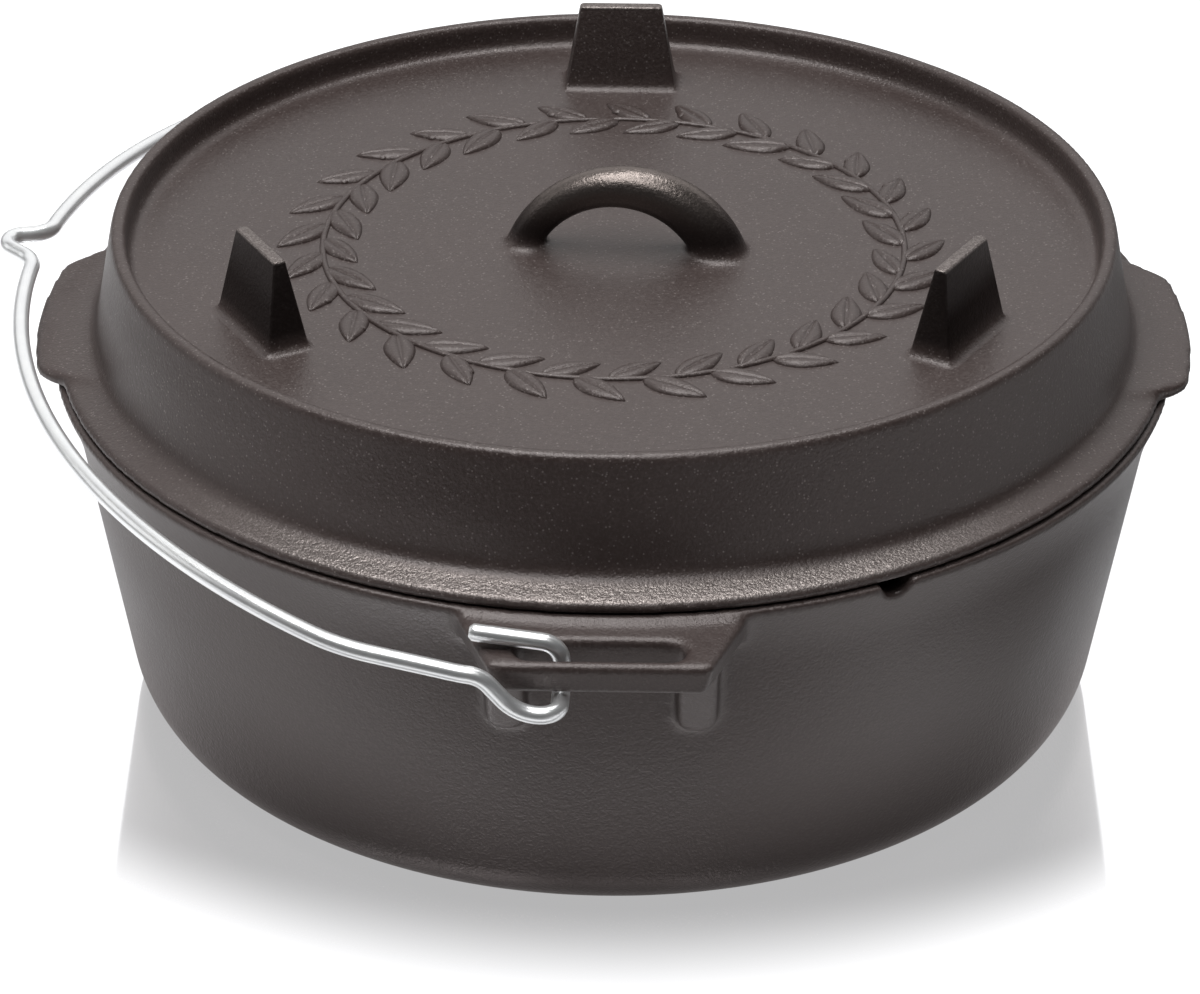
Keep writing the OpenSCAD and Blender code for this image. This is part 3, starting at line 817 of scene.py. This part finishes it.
# %% [markdown]
# The handle is an arch that grows from a slim to a stout end. Its outer edge is a plain circle, and
# the middle line lies in from it by the radius at each point. Two cones and a bend would come close,
# but the growth has to be smooth all the way, because a sheen runs along the top of it.

# %% Handle
GRASP_R, GRASP_SLIM, GRASP_STOUT, GRASP_GROWTH = 0.035, 0.0095, 0.015, 1.3
GRASP_X, GRASP_Y, GRASP_TURN = 0.0035, -0.003, math.radians(-4)
GRASP_FROM, GRASP_SPAN, GRASP_N, GRASP_SIDES = 12, 156, 52, 32
GRASP_DROP, GRASP_SUNK = 0.0003, 0.001
GRASP_Z = PLATE_Z + FOOT_H - GRASP_DROP - GRASP_R
to_grasp = spun(GRASP_TURN)


def grasp_spot(a):
    """A point of the middle line and its radius, at an angle of the arch."""
    r = (GRASP_SLIM + (GRASP_STOUT - GRASP_SLIM) * ((1 + math.cos(a)) / 2) ** GRASP_GROWTH) / 2
    on_arch = ((GRASP_R - r) * math.cos(a), 0, GRASP_Z + (GRASP_R - r) * math.sin(a))
    return np.add(to_grasp(on_arch), (GRASP_X, GRASP_Y, 0)), r


grasp_spots = [grasp_spot(math.radians(GRASP_FROM + GRASP_SPAN * i / GRASP_N)) for i in range(GRASP_N + 1)]
grasp_line, grasp_radii = zip(*[(p, r) for p, r in grasp_spots if p[2] > PLATE_Z - GRASP_SUNK])
grasp = swept("grasp", grasp_line, grasp_radii, GRASP_SIDES, lid_iron)
print("handle: %d points, top at %.4f m" % (len(grasp.vertices), max(v.co.z for v in grasp.vertices)))

# %% [markdown]
# In the foundry the wax fillets and the sand round every corner off. Here the blocks of a casting are
# joined and remeshed into one skin by voxels a millimetre wide. Then its points are relaxed: hollow
# corners are filled more with every round, while outer edges lose only a little. A Bevel modifier
# would trip over the places where blocks run into the turned wall.

# %% Relaxing a skin


def relax(mesh, rounds, fill, wear):
    """Moves each point towards the middle of its neighbours, in hollows by fill and on edges by wear."""
    n = len(mesh.vertices)
    co = np.empty(n * 3)
    mesh.vertices.foreach_get("co", co)
    co = co.reshape(n, 3)
    ends = np.empty(len(mesh.edges) * 2, np.int32)
    mesh.edges.foreach_get("vertices", ends)
    a, b = ends[0::2], ends[1::2]
    degree = np.bincount(a, minlength=n) + np.bincount(b, minlength=n)
    quads = np.empty(len(mesh.loops), np.int32)
    mesh.loops.foreach_get("vertex_index", quads)
    quads = quads.reshape(-1, 4)
    for _ in range(rounds):
        middle = np.empty_like(co)
        out = np.zeros_like(co)
        across = np.cross(co[quads[:, 2]] - co[quads[:, 0]], co[quads[:, 3]] - co[quads[:, 1]])
        for k in range(3):
            middle[:, k] = (np.bincount(a, co[b, k], n) + np.bincount(b, co[a, k], n)) / degree
            for corner in range(4):
                out[:, k] += np.bincount(quads[:, corner], across[:, k], n)
        pull = middle - co
        hollow = np.einsum("ij,ij->i", pull, out) > 0
        co = co + pull * np.where(hollow, fill, wear)[:, None]
    mesh.vertices.foreach_set("co", co.ravel())
    mesh.update()


print("relaxing:", relax.__doc__)

# %% [markdown]
# Both castings get their skin in the same way. The lid's skin takes in the handle and the grips, and the
# crisp feet are joined to it afterwards. A skin with too many triangles is thinned, which leaves
# small faces on the corners and larger ones on the flats.

# %% One skin with cast corners
VOXEL, ROUNDS, FILL, WEAR = 0.0011, 12, 0.5, 0.12
MOST_TRIANGLES = 190000


def join(name, meshes):
    """All meshes in one, still as separate shells."""
    body = bmesh.new()
    for m in meshes:
        body.from_mesh(m)
    mesh = bpy.data.meshes.new(name)
    body.to_mesh(mesh)
    body.free()
    return mesh


def cast(name, meshes):
    """One smooth skin round all the meshes."""
    skin = with_modifier(join(name, meshes), "REMESH", mode="VOXEL", voxel_size=VOXEL)
    relax(skin, ROUNDS, FILL, WEAR)
    triangles = 2 * len(skin.polygons)
    if triangles > MOST_TRIANGLES:
        skin = with_modifier(skin, "DECIMATE", decimate_type="COLLAPSE", ratio=MOST_TRIANGLES / triangles)
    skin.name = name
    skin.shade_smooth()
    print("%s: %d triangles from %d" % (name, sum(len(p.vertices) - 2 for p in skin.polygons), triangles))
    return skin


pot_mesh = cast("pot_casting", [pot_turned] + pot_blocks)
lid_mesh = join("lid_casting", [cast("lid_skin", [lid_turned, grasp] + grips), feet])

# %% [markdown]
# A wreath of leaves in low relief runs round the handle, as if cut into the pattern by hand. One leaf
# is a small slab with a swollen blade and a sunk midrib. It is laid out from a short table: how far
# across each column lies and how high it rises. A sculpted leaf would need far more faces.

# %% One leaf
LEAF_L, LEAF_W, LEAF_H, LEAF_SUNK, LEAF_ROWS = 0.0185, 0.0082, 0.0014, 0.0009, 11
LEAF_SKEW, LEAF_FULL, LEAF_CROWN, LEAF_STALK = 0.8, 0.85, 0.4, 0.04
BLADE = [(-1, 0), (-0.82, 0.62), (-0.45, 1.0), (-0.10, 0.82), (0, 0.42),
         (0.10, 0.82), (0.45, 1.0), (0.82, 0.62), (1, 0)]


def leaf_spot(i, j, top):
    """A point of a leaf: row i from its stalk to its tip, column j across it."""
    along = i / (LEAF_ROWS - 1)
    across, rise = BLADE[j]
    swell = math.sin(math.pi * along ** LEAF_SKEW)
    half = LEAF_W / 2 * (LEAF_STALK + (1 - LEAF_STALK) * swell ** LEAF_FULL)
    return LEAF_L * along, across * half, LEAF_H * rise * swell ** LEAF_CROWN if top else -LEAF_SUNK


leaf = slab(LEAF_ROWS, len(BLADE), leaf_spot)
print("leaf:", len(leaf.polygons), "faces")

# %% [markdown]
# Geometry Nodes set the leaves on a ring, in turn to the left and right of a thin stem, with sizes that
# differ a little under a fixed seed, and put a flat berry beside the stem after each leaf. Modelled
# leaf by leaf, all this would be hard to change.

# %% Wreath on the lid
LEAVES, WREATH_R, SPREAD, STEM_R, WREATH_SEED = 56, 0.079, 0.62, 0.0009, 4
LEAF_LEAST, LEAF_MOST, STEM_STEPS, STEM_SIDES = 0.9, 1.08, 240, 12
BERRY_R, BERRY_ASIDE, BERRY_ON, BERRY_FLAT = 0.0019, 0.0052, 0.115, 0.6


def set_on_ring(tree, spots, radius, height, angle):
    """Points moved to a radius and a height, each at its own angle."""
    middle = add(tree, "ShaderNodeCombineXYZ", i0=radius, i2=height)
    place = add(tree, "ShaderNodeVectorRotate", {"rotation_type": "Z_AXIS"}, Vector=middle[0], Angle=angle)
    return add(tree, "GeometryNodeSetPosition", Geometry=spots, Position=place[0])[0]


def wreath_tree():
    tree, inp, out = new_tree("leaf_wreath", [
        ("Leaves", "NodeSocketInt", LEAVES), ("Radius", "NodeSocketFloat", WREATH_R),
        ("Height", "NodeSocketFloat", PLATE_Z), ("Spread", "NodeSocketFloat", SPREAD),
        ("Stem", "NodeSocketFloat", STEM_R), ("Seed", "NodeSocketInt", WREATH_SEED)])
    spots = add(tree, "GeometryNodeMeshLine", {"mode": "OFFSET"}, Count=inp["Leaves"], Offset=(0, 0, 0))[0]
    index = add(tree, "GeometryNodeInputIndex")[0]
    angle = reckon(tree, "MULTIPLY", reckon(tree, "DIVIDE", index, inp["Leaves"]), 2 * math.pi)
    side = reckon(tree, "MULTIPLY_ADD", reckon(tree, "MODULO", index, 2.0), -2.0, 1.0)
    lean = reckon(tree, "MULTIPLY_ADD", side, inp["Spread"], math.pi / 2)
    turns = add(tree, "ShaderNodeCombineXYZ", i2=reckon(tree, "ADD", angle, lean))
    size = add(tree, "FunctionNodeRandomValue", {"data_type": "FLOAT"},
               i2=LEAF_LEAST, i3=LEAF_MOST, Seed=inp["Seed"])
    leaves = add(tree, "GeometryNodeInstanceOnPoints", Instance=inp["Geometry"], Rotation=turns[0],
                 Points=set_on_ring(tree, spots, inp["Radius"], inp["Height"], angle), Scale=size[1])
    berry = add(tree, "GeometryNodeMeshUVSphere", Segments=12, Rings=8, Radius=BERRY_R)
    aside = reckon(tree, "MULTIPLY_ADD", side, -BERRY_ASIDE, inp["Radius"])
    berry_turn = reckon(tree, "ADD", angle, BERRY_ON)
    berries = add(tree, "GeometryNodeInstanceOnPoints", Instance=berry[0], Scale=(1, 1, BERRY_FLAT),
                  Points=set_on_ring(tree, spots, aside, inp["Height"], berry_turn))
    up = add(tree, "ShaderNodeCombineXYZ", i2=inp["Height"])
    round_handle = circle(tree, STEM_STEPS, inp["Radius"])
    lifted = add(tree, "GeometryNodeSetPosition", Geometry=round_handle, Offset=up[0])
    stem = add(tree, "GeometryNodeCurveToMesh", Curve=lifted[0], i1=circle(tree, STEM_SIDES, inp["Stem"]))
    joined = tree.nodes.new("GeometryNodeJoinGeometry")
    for made in (stem[0], leaves[0], berries[0]):
        tree.links.new(made, joined.inputs[0])
    end_tree(tree, inp, out, joined.outputs[0])
    return tree


wreath_mesh = grow("wreath", wreath_tree(), leaf, lid_iron, Leaves=LEAVES, Radius=WREATH_R,
                   Height=PLATE_Z, Spread=SPREAD, Stem=STEM_R, Seed=WREATH_SEED)
wreath_mesh.shade_smooth()
print("wreath:", len(wreath_mesh.polygons), "faces")

# %% [markdown]
# The bail is one bent wire. It could be drawn as a curve by eye. Here its middle line is worked out as a
# wire bender would feed it: a straight length, then a bend of some radius and angle, with a turn of the
# wire before each bend. That keeps every bend round and the wire in one piece.

# %% Feeding a wire
WIRE_STEP = 0.0009


def cosd(a):
    return math.cos(math.radians(a))


def sind(a):
    return math.sin(math.radians(a))


def about(axis, a):
    """A turn about one axis, in degrees, as a matrix."""
    c, s = cosd(a), sind(a)
    return np.array({"x": [[1, 0, 0], [0, c, -s], [0, s, c]],
                     "y": [[c, 0, s], [0, 1, 0], [-s, 0, c]],
                     "z": [[c, -s, 0], [s, c, 0], [0, 0, 1]]}[axis])


def fed(start, heading, steps):
    """Points of a wire fed through a bender: each step is length, bend radius, bend angle and turn."""
    points, here = [start], start
    for length, r, a, turn in steps:
        heading = heading @ about("z", turn)
        n = math.ceil(length / WIRE_STEP)
        points += [here + heading @ (0, 0, length * i / n) for i in range(1, n + 1)]
        here = points[-1]
        n = math.ceil(math.radians(a) * r / WIRE_STEP)
        bend = [(r * (1 - cosd(a * i / n)), 0, r * sind(a * i / n)) for i in range(1, n + 1)]
        points += [here + heading @ p for p in bend]
        here = points[-1]
        heading = heading @ about("y", a)
    return points


print("a point of the wire every %.1f mm" % (1000 * WIRE_STEP))

# %% [markdown]
# Radii, lengths and angles of the bends. The last few follow from the others and from the ears: how high
# a tail rises to lie on its ear, the radius that the bow needs to reach both hooks, and the angle at
# which it turns into the notch in the middle. Set by hand, they would leave the wire open or bent askew.

# %% Sizes of the bail
WIRE_R, TILT, BAIL_TURN, HINGE_X = 0.00225, 6.8, 2.1, -0.0034
HOOK_R, HOOK_GAP, TAIL_R, TAIL_L, TAIL_GAP = 0.0045, 0.0006, 0.0055, 0.018, 0.0004
DIP_R, DIP_A, DIP_L, CREST_R = 0.012, 50, 0.005, 0.008
ELBOW_R, ELBOW_A, ARM_L, ARM_R, ARM_BEND = 0.020, 9, 0.021, 0.045, 21.3
SHOULDER_R, TIP_R, TIP_A, TIP_L, NOTCH_SHIFT = 0.008, 0.0055, 32, 0.004, 4.3
BOW_A = ELBOW_A + ARM_BEND
HINGE_Z = EAR_LOW - HOOK_GAP - WIRE_R
OUT_L = LIP_Y + HOOK_R
CROSS_L = OUT_L - SLOT_Y - 2 * HOOK_R
tail_x = SLOT_L / 2 + HINGE_X - SLOT_Y * sind(BAIL_TURN) - TAIL_R * (1 - sind(TILT))
TAIL_RISE = (EAR_TOP + TAIL_GAP + WIRE_R / cosd(TILT) - tail_x * sind(TILT) / cosd(TILT)
             - TAIL_R * cosd(TILT) - HINGE_Z - HOOK_R)
BOW_R = (OUT_L - ELBOW_R * (1 - cosd(ELBOW_A)) - ARM_L * sind(ELBOW_A)
         - ARM_R * (cosd(ELBOW_A) - cosd(BOW_A))) / cosd(BOW_A)
shoulder_y = (SHOULDER_R + TIP_R) * cosd(TIP_A) + TIP_L * sind(TIP_A)
SHOULDER_A = math.degrees(math.acos(shoulder_y / (BOW_R + SHOULDER_R)))
print("bow of %.0f mm radius, shoulders at %.1f degrees" % (1000 * BOW_R, SHOULDER_A))

# %% [markdown]
# The wire starts where it crosses under the front ear's lip. One way it goes up through the slot to its
# cut end on the ear. The other way it dips, follows an arm and the bow to the notch for a hanging hook,
# and comes back the same way to the rear ear. Each row is a length, a bend's radius and angle, and a turn.

# %% Bail path
front_half = [
    (CROSS_L, HOOK_R, 90, 180), (0, DIP_R, DIP_A, -90), (DIP_L, CREST_R, DIP_A - TILT, 180),
    (0, ELBOW_R, ELBOW_A, -90), (ARM_L, ARM_R, ARM_BEND, 0),
    (0, BOW_R, SHOULDER_A - BOW_A + NOTCH_SHIFT, 0), (0, SHOULDER_R, SHOULDER_A - TIP_A, 180)]
tip = [(TIP_L, TIP_R, 2 * (90 - TIP_A), 180)]
back_half = [
    (TIP_L, SHOULDER_R, SHOULDER_A - TIP_A, 180), (0, BOW_R, SHOULDER_A - BOW_A - NOTCH_SHIFT, 180),
    (0, ARM_R, ARM_BEND, 0), (ARM_L, ELBOW_R, ELBOW_A, 0), (0, CREST_R, DIP_A - TILT, 90),
    (DIP_L, DIP_R, DIP_A, 180), (0, HOOK_R, 90, 90), (CROSS_L, HOOK_R, 90, -90)]
back_tail = [(TAIL_RISE, TAIL_R, 90 - TILT, 90), (TAIL_L, 0, 0, 0)]
front_tail = [(0, HOOK_R, 90, -90), (TAIL_RISE, TAIL_R, 90 - TILT, -90), (TAIL_L, 0, 0, 0)]

crossing = np.array((0, -SLOT_Y - HOOK_R, HINGE_Z))
to_tail = fed(crossing, about("x", -90), front_tail)
to_back = fed(crossing, about("x", 90), front_half + tip + back_half + back_tail)
bail_line = np.array(to_tail[:0:-1] + to_back) @ about("z", -BAIL_TURN).T + (HINGE_X, 0, 0)
bail_steps = np.linalg.norm(np.diff(bail_line, axis=0), axis=1)
print("wire %.0f mm long, tip at" % (1000 * bail_steps.sum()), bail_line[bail_line[:, 0].argmin()].round(4))

# %% [markdown]
# Cutters leave the wire's two ends a little rounded. Caps could be modelled, but it is enough that the
# last points of the line get smaller radii before the wire is swept.

# %% Bail
WIRE_SIDES, END_ROUND, END_LESS = 20, 0.0012, 0.0009
run_in = np.concatenate(([0], np.cumsum(bail_steps)))
from_end = np.minimum(run_in, run_in[-1] - run_in)
bail_radii = WIRE_R - END_LESS * np.clip(1 - from_end / END_ROUND, 0, 1) ** 2
bail_mesh = swept("bail_wire_mesh", bail_line, bail_radii, WIRE_SIDES, zinc)
bail_mesh.shade_smooth()
print("bail:", len(bail_mesh.polygons), "faces")

# %% [markdown]
# Each finished mesh becomes a piece: it rides on its body and stands for its solid. The wreath rides on
# the lid's body too, but it stands for no solid of its own.

# %% Pieces


def piece(name, mesh, material, body, node=None):
    """An object at the origin, with its place in its mesh."""
    mesh.materials.clear()
    mesh.materials.append(material)
    obj = put_in(name, mesh)
    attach(obj, body)
    if node:
        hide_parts(node)
    return obj


pot = piece("pot_casting", pot_mesh, pot_iron, "pot", "pot")
lid = piece("lid_casting", lid_mesh, lid_iron, "lid", "lid")
wreath = piece("lid_wreath", wreath_mesh, lid_iron, "lid")
bail = piece("bail_wire", bail_mesh, zinc, "bail", "bail")
print("pieces:", pot.name, lid.name, wreath.name, bail.name)

# %% [markdown]
# The oven stands on a white table top that is lit from below. Dark iron shows little but what it
# reflects, so most of its broad sheens are this table: where it glows, the wall above turns pale, and
# where it is dim, the wall stays dark. More lamps could do the same with hard edges. The glow is a sum
# of soft steps along X and Y. To the camera itself the table shows plain white, apart from a painted soft
# shadow close to the pot, at its right and in front, which is what the Light Path node is for.

# %% Table top
TABLE = [(-2.0, -1.3, 0), (2.0, -1.3, 0), (2.0, 2.6, 0), (-2.0, 2.6, 0)]
SHEET_GREY, SHEET_PALE, HAZE = (0.06, 0.06, 0.061, 1), (0.065, 0.065, 0.066, 1), 3.0
DIM, BRIGHT, GLOW = (0.02, 0.02, 0.02, 1), (0.99, 0.99, 1.0, 1), 1.2
POT_FRONT, POT_LEFT, POT_RIGHT = (-0.205, -0.165), (-0.58, -0.42), (0.165, 0.215)
FAR_RIGHT, FAR_LEFT, FRONT_HALF = (0.30, 0.45), (-0.6, -0.4), (-0.15, 0.05)
RIGHT_GLOW, LEFT_GLOW, CORNER_GLOW, SLANT = 0.45, 0.35, 0.85, 0.1
STRIP_FROM, STRIP_TO = (-0.40, -0.34), (-0.26, -0.225)
WHITE_FROM = (0.185, 0.225)

table_mesh = bpy.data.meshes.new("table_top")
table_mesh.from_pydata(TABLE, [], [(0, 1, 2, 3)])
table_top = put_in("table_top", table_mesh)
white, shader, place = new_finish("white_acrylic")
x, y, away = place.axis(0), place.axis(1), place.from_middle()
haze = place.noise(HAZE)
feed(shader, Base_Color=haze.tint(SHEET_GREY, SHEET_PALE), Roughness=0.5 + 0.02 * haze)

behind = y.between(*POT_FRONT) * x.between(*POT_LEFT) * (1.0 - (x - y * SLANT).between(*POT_RIGHT))
right, left = x.between(*FAR_RIGHT), 1.0 - x.between(*FAR_LEFT)
strip = y.between(*STRIP_FROM) * (1.0 - y.between(*STRIP_TO))
corner = right * (1.0 - y.between(*FRONT_HALF))
lit = behind + right * RIGHT_GLOW + left * LEFT_GLOW + corner * CORNER_GLOW + strip
# Camera rays see white, except close to the pot, where the dim glow is left as a painted soft shadow.
seen = place.make("ShaderNodeLightPath", out=0)
lit = lit + seen * (away.between(*WHITE_FROM) + (1.0 - y.between(*POT_FRONT)))
feed(shader, Emission_Color=lit.tint(DIM, BRIGHT), Emission_Strength=GLOW)
print("table: %.1f by %.1f m" % (TABLE[2][0] - TABLE[0][0], TABLE[2][1] - TABLE[0][1]))

# %% [markdown]
# Acrylic mirrors what stands on it, softly and most strongly close by. A glossy shader is mixed in
# round the pot's base, and fades out with the distance and towards the front. A low roughness all
# over would mirror the whole room instead.

# %% Mirror under the pot
MIRROR_FROM, MIRROR_TO, MIRROR_BOW, MIRROR_SHARE = (-0.182, -0.128), (0.20, 0.27), 2.4, 0.62
mirror = place.make("ShaderNodeBsdfGlossy", Color=(0.98, 0.98, 1.0, 1), Roughness=0.06)
close_by = (y - x * x * MIRROR_BOW).between(*MIRROR_FROM) * (1.0 - away.between(*MIRROR_TO))
polished = place.make("ShaderNodeMixShader", i0=MIRROR_SHARE * close_by,
                      i1=Shade(place.tree, shader.outputs[0]), i2=mirror)
output = next(n for n in white.node_tree.nodes if n.bl_idname == "ShaderNodeOutputMaterial")
white.node_tree.links.new(polished.socket, output.inputs["Surface"])
table_mesh.materials.append(white)
print("table finish:", white.name, "with", len(white.node_tree.nodes), "nodes")

# %% [markdown]
# Three soft boxes light the oven: a long one above and behind that lays the pale sheen over the lid, one
# above its front for the flange and the skirt, and a weak one at the left. Small lamps would give
# hard points of light, which polished steel shows but seasoned iron doesn't.

# %% Soft boxes


def softbox(name, place_at, aim, width, height, watts):
    """A rectangle of light that faces the point it aims at."""
    light = bpy.data.lights.new(name, "AREA")
    light.shape, light.size, light.size_y, light.energy = "RECTANGLE", width, height, watts
    obj = put_in(name, light)
    obj.location = place_at
    obj.rotation_mode = "QUATERNION"
    obj.rotation_quaternion = (Vector(aim) - Vector(place_at)).to_track_quat("-Z", "Y")
    return obj


softbox("top_box", (-0.10, 0.17, 1.4), (0, 0, 0.1), 1.2, 0.27, 14)
softbox("front_box", (-0.12, -0.46, 1.36), (0, 0, 0.1), 0.9, 0.5, 10)
softbox("left_box", (-1.15, 0.05, 0.55), (0, 0, 0.08), 0.6, 0.7, 1.5)

# %% [markdown]
# A pale wall behind the table and an otherwise dark room complete the studio. The wall could be a plane,
# but as part of the world it costs nothing: it is lit where a ray goes backwards and not too high.
# Rays that come straight from the camera see white all round, so other views have a plain backdrop too.

# %% Backdrop
WALL_DEPTH, WALL_FROM, WALL_TO, ROOM = (0.35, 0.6), (0.12, 0.3), (0.66, 0.85), 0.01
world = bpy.data.worlds.new("studio")
world.use_nodes = True
bpy.context.scene.world = world
sky = next(n for n in world.node_tree.nodes if n.bl_idname == "ShaderNodeBackground")
way = Shade(world.node_tree, world.node_tree.nodes.new("ShaderNodeTexCoord").outputs["Generated"])
depth, height = way.axis(1), way.axis(2)
backdrop = depth.between(*WALL_DEPTH) * height.between(*WALL_FROM) * (1.0 - height.between(*WALL_TO))
feed(sky, Color=(1.0, 1.0, 1.0, 1), Strength=ROOM + backdrop + way.make("ShaderNodeLightPath", out=0))
bpy.context.scene.view_settings.view_transform = "Standard"
print("world:", world.name, "with", len(world.node_tree.nodes), "nodes")

# %% [markdown]
